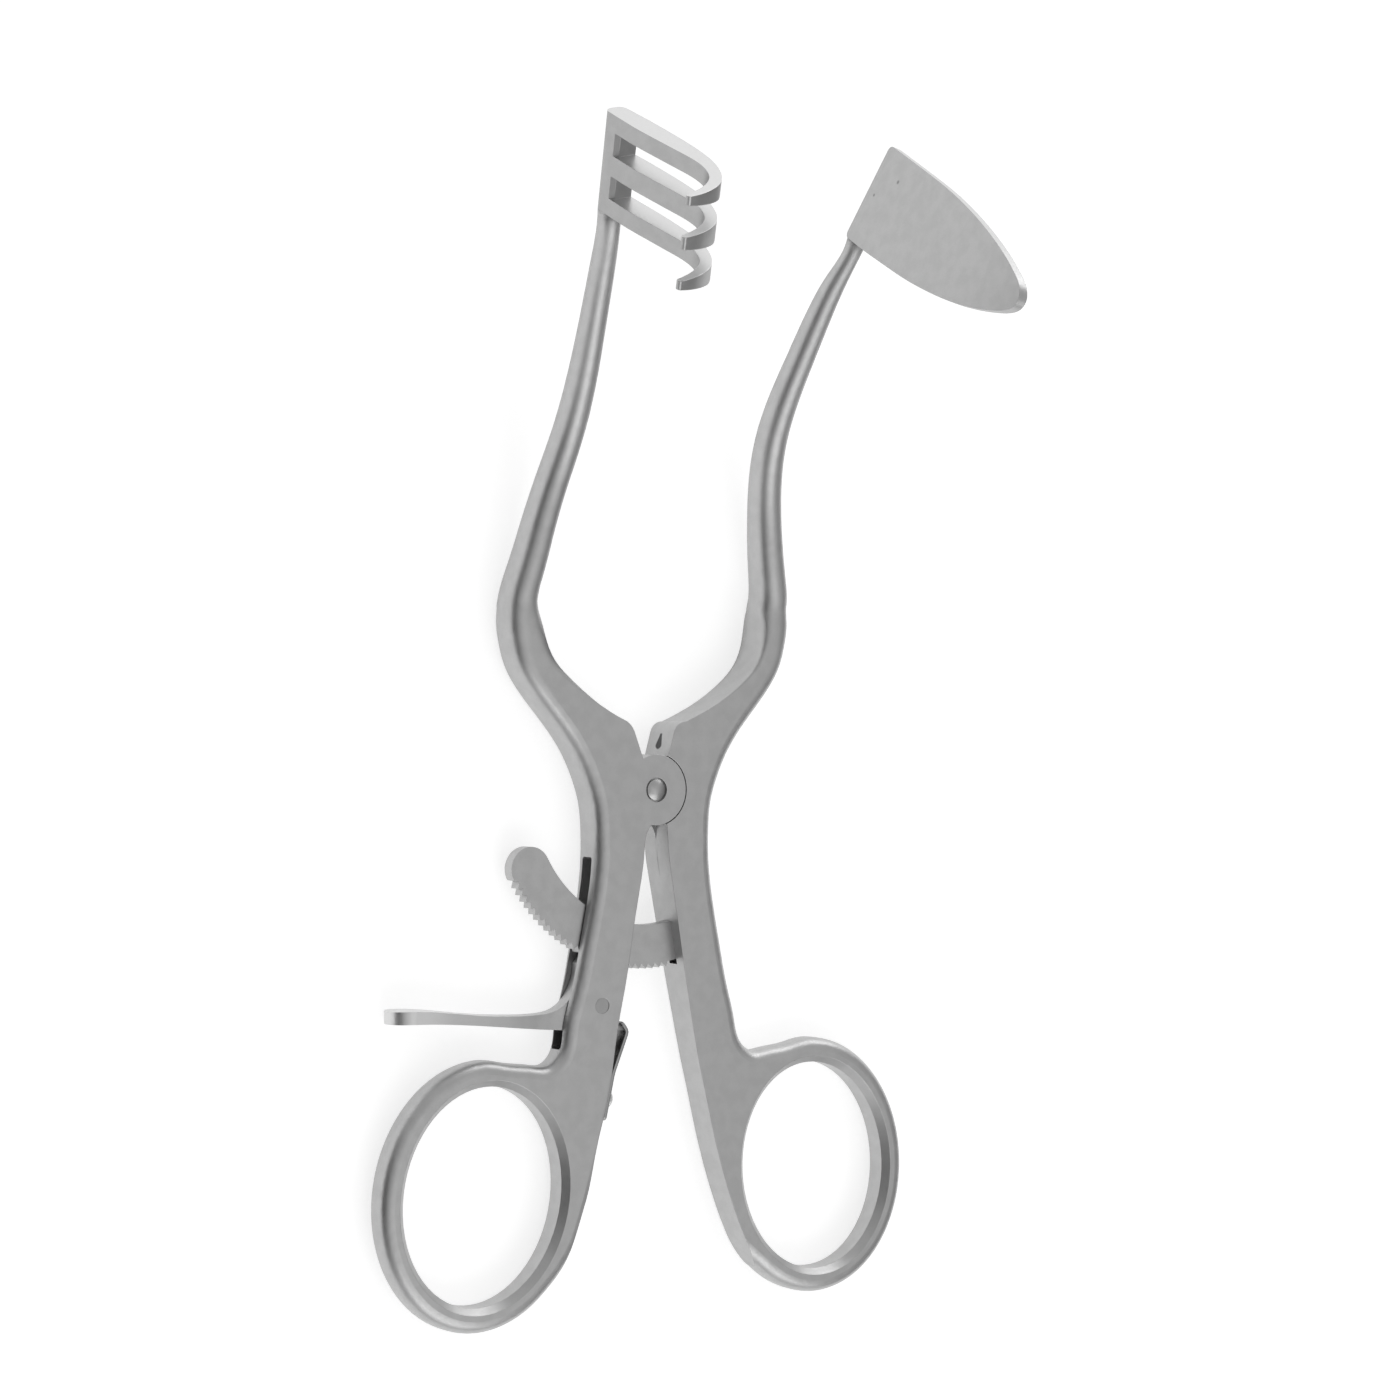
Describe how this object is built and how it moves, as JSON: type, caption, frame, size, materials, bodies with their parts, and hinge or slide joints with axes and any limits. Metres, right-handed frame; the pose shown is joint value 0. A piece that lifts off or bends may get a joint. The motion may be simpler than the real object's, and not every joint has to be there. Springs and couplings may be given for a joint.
{
  "type": "self retaining retractor",
  "caption": "Ring-handled self retaining retractor with a hooked rake blade, a solid blade, a curved ratchet bar and a thumb release.",
  "frame": {"origin": "on the joint axis, at the flat back faces the instrument lies on", "axes": "+Z out of the surface it lies on, +Y from the joint towards the blades, +X to the right half, the one with the solid blade"},
  "size_m": [0.094, 0.175, 0.0691],
  "materials": {
    "satin_steel": "satin, bead blasted",
    "pin_steel": "satin, turned",
    "spring_steel": "ground"
  },
  "bodies": {
    "left": {"left_half": "satin_steel", "three_prong_blade": "satin_steel", "pivot_pin": "pin_steel", "lever_pin": "pin_steel", "leaf_spring": "spring_steel", "spring_screw": "pin_steel"},
    "right": {"right_half": "satin_steel", "solid_blade": "satin_steel", "ratchet_bar": "satin_steel"},
    "lever": {"release_lever": "satin_steel"}
  },
  "joints": [
    {"name": "opening", "type": "hinge", "parent": "left", "child": "right", "pos_m": [0, 0, 0], "axis": [0, 0, -1], "range_deg": [-26, 15.6]},
    {"name": "release", "type": "hinge", "parent": "left", "child": "lever", "pos_m": [-0.00934, -0.03193, 0.00325], "axis": [0, 0, 1], "range_deg": [-7, 8], "stiffness_Nm_per_rad": 0.05, "springref_deg": -11.46, "deforming": ["leaf_spring"]}
  ]
}
